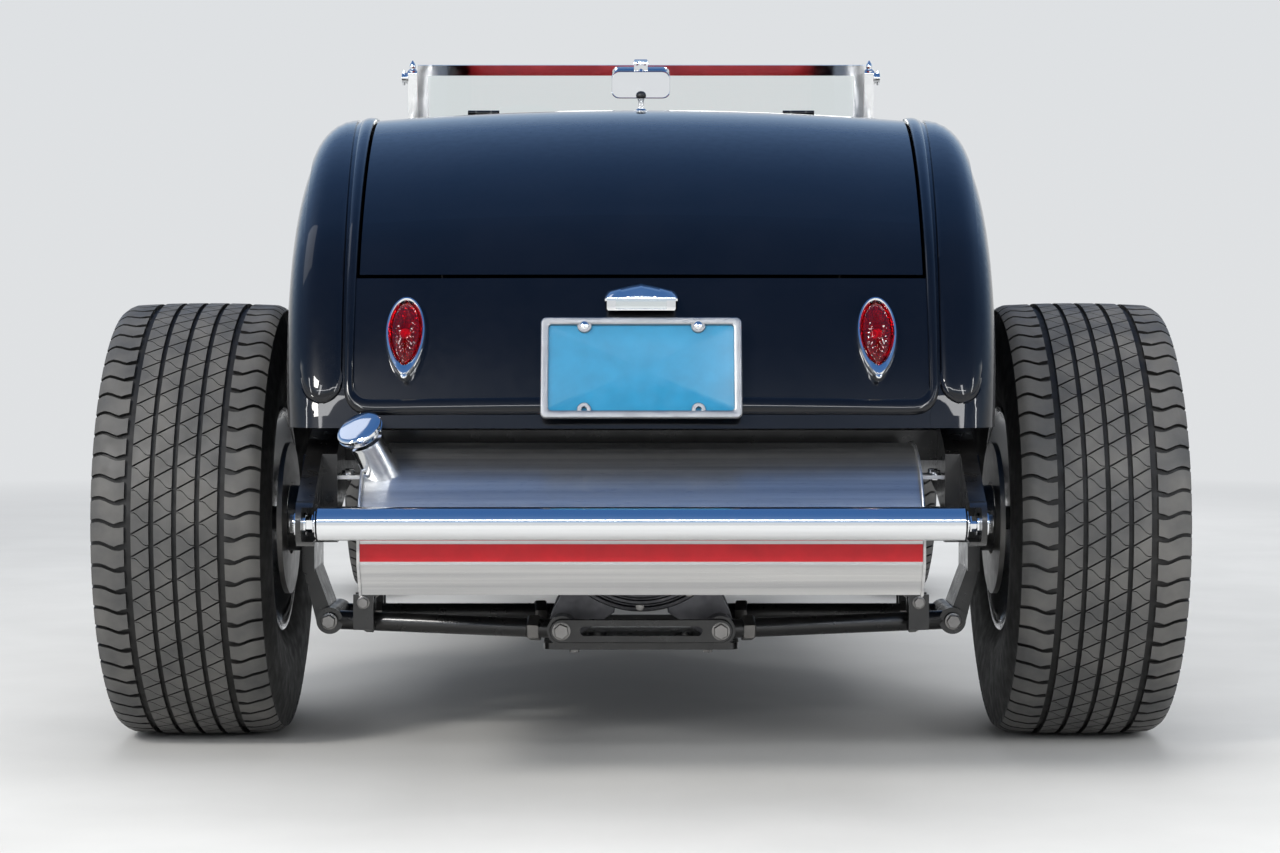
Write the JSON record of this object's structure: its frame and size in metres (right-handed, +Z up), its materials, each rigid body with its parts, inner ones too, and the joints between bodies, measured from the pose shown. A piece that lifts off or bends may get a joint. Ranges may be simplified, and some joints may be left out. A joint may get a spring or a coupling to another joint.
{
  "type": "roadster car",
  "caption": "Open two-seat hot rod roadster with no fenders, exposed frame, wide rear tyres, opening doors, trunk lid and hood, and steered front wheels.",
  "frame": {"origin": "on the ground, at the middle of the overall length and width", "axes": "+X to the right of the car, +Y forward, +Z up"},
  "size_m": [1.8816, 3.952, 1.364],
  "materials": {
    "body_paint": "deep gloss black",
    "chassis_paint": "gloss black",
    "engine_metal": "cast",
    "chrome": "polished",
    "stainless": "brushed",
    "wheel_alloy": "polished",
    "tyre_rubber": "matte rubber",
    "clear_glass": "clear",
    "red_lens": "ribbed red",
    "red_leather": "satin",
    "wheel_rim_plastic": "gloss"
  },
  "bodies": {
    "chassis": {"cockpit_rear_panel": "body_paint", "coil_overs": "chrome", "cowl": "body_paint", "dashboard": "body_paint", "differential": "chassis_paint", "drive_shafts": "chassis_paint", "engine_block": "engine_metal", "exhaust": "chassis_paint", "filler_cap": "chrome", "floor_pan": "chassis_paint", "frame": "chassis_paint", "front_axle": "chrome", "front_spring": "chassis_paint", "fuel_tank": "stainless", "gearbox": "chassis_paint", "grille_bars": "chrome", "grille_shell": "chrome", "headlamp_lenses": "clear_glass", "headlamps": "chrome", "hood_hinge": "chrome", "lower_arms": "chrome", "mirrors": "body_paint", "number_plate": "chrome", "pivot_plate": "chassis_paint", "plate_lamp": "chrome", "quarter_left": "body_paint", "quarter_right": "body_paint", "radiator": "chassis_paint", "radius_rods": "chrome", "rear_uprights": "chassis_paint", "seat_back": "red_leather", "seat_cushion": "red_leather", "spreader_bars": "chrome", "steering_column": "chassis_paint", "tail_lamp_bezels": "chrome", "tail_lamp_lenses": "red_lens", "tail_panel": "body_paint", "windshield_frame": "chrome", "windshield_glass": "clear_glass", "windshield_posts": "chrome"},
    "door_left": {"door_left": "body_paint"},
    "door_right": {"door_right": "body_paint"},
    "deck_lid": {"deck_lid": "body_paint"},
    "hood_left": {"hood_left": "body_paint"},
    "hood_right": {"hood_right": "body_paint"},
    "steering_wheel": {"steering_wheel": "wheel_rim_plastic"},
    "knuckle_left": {"knuckle_left": "chrome"},
    "knuckle_right": {"knuckle_right": "chrome"},
    "tie_rod": {"tie_rod": "chrome"},
    "pitman_arm": {"pitman_arm": "chrome"},
    "wheel_front_left": {"rim_front_left": "wheel_alloy", "tyre_front_left": "tyre_rubber"},
    "wheel_front_right": {"rim_front_right": "wheel_alloy", "tyre_front_right": "tyre_rubber"},
    "wheel_rear_left": {"rim_rear_left": "wheel_alloy", "tyre_rear_left": "tyre_rubber"},
    "wheel_rear_right": {"rim_rear_right": "wheel_alloy", "tyre_rear_right": "tyre_rubber"}
  },
  "joints": [
    {"name": "spin_rear_left", "type": "hinge", "parent": "chassis", "child": "wheel_rear_left", "pos_m": [-0.788, -1.086, 0.3925], "axis": [1, 0, 0], "continuous": true},
    {"name": "spin_rear_right", "type": "hinge", "parent": "chassis", "child": "wheel_rear_right", "pos_m": [0.788, -1.086, 0.3925], "axis": [1, 0, 0], "continuous": true},
    {"name": "steer_left", "type": "hinge", "parent": "chassis", "child": "knuckle_left", "pos_m": [-0.595, 1.606, 0.325], "axis": [0, 0, 1], "range_deg": [-28, 28]},
    {"name": "steer_right", "type": "hinge", "parent": "chassis", "child": "knuckle_right", "pos_m": [0.595, 1.606, 0.325], "axis": [0, 0, 1], "range_deg": [-28.5, 28.5]},
    {"name": "spin_front_left", "type": "hinge", "parent": "knuckle_left", "child": "wheel_front_left", "pos_m": [-0.715, 1.606, 0.325], "axis": [1, 0, 0], "continuous": true},
    {"name": "spin_front_right", "type": "hinge", "parent": "knuckle_right", "child": "wheel_front_right", "pos_m": [0.715, 1.606, 0.325], "axis": [1, 0, 0], "continuous": true},
    {"name": "tie_rod_pivot", "type": "hinge", "parent": "knuckle_left", "child": "tie_rod", "pos_m": [-0.595, 1.474, 0.19], "axis": [0, 0, 1], "range_deg": [-28.5, 28.5]},
    {"name": "pitman_swing", "type": "hinge", "parent": "chassis", "child": "pitman_arm", "pos_m": [-0.28, 1.419, 0.35], "axis": [0, -1, 0], "range_deg": [-25, 25]},
    {"name": "steering_wheel_turn", "type": "hinge", "parent": "chassis", "child": "steering_wheel", "pos_m": [-0.28, 0.044, 1.01], "axis": [0, -0.9084, 0.4181], "range_deg": [-395, 395]},
    {"name": "door_left_hinge", "type": "hinge", "parent": "chassis", "child": "door_left", "pos_m": [-0.58489, 0.296, 0.6], "axis": [-0.0479, 0, -0.9988], "range_deg": [0, 65]},
    {"name": "door_right_hinge", "type": "hinge", "parent": "chassis", "child": "door_right", "pos_m": [0.58489, 0.296, 0.6], "axis": [-0.0479, 0, 0.9988], "range_deg": [0, 65]},
    {"name": "deck_lid_hinge", "type": "hinge", "parent": "chassis", "child": "deck_lid", "pos_m": [0, -0.855, 1.15], "axis": [-1, 0, 0], "range_deg": [0, 60]},
    {"name": "hood_left_hinge", "type": "hinge", "parent": "chassis", "child": "hood_left", "pos_m": [0, 0.77, 1.0895], "axis": [0, 1, 0], "range_deg": [0, 50]},
    {"name": "hood_right_hinge", "type": "hinge", "parent": "chassis", "child": "hood_right", "pos_m": [0, 0.77, 1.0895], "axis": [0, -1, 0], "range_deg": [0, 50]}
  ],
  "couplings": [
    {"joint": "steer_right", "follows": "steer_left", "ratio": 1},
    {"joint": "tie_rod_pivot", "follows": "steer_left", "ratio": -1},
    {"joint": "pitman_swing", "follows": "steer_left", "ratio": 0.87},
    {"joint": "steering_wheel_turn", "follows": "steer_left", "ratio": 14}
  ]
}
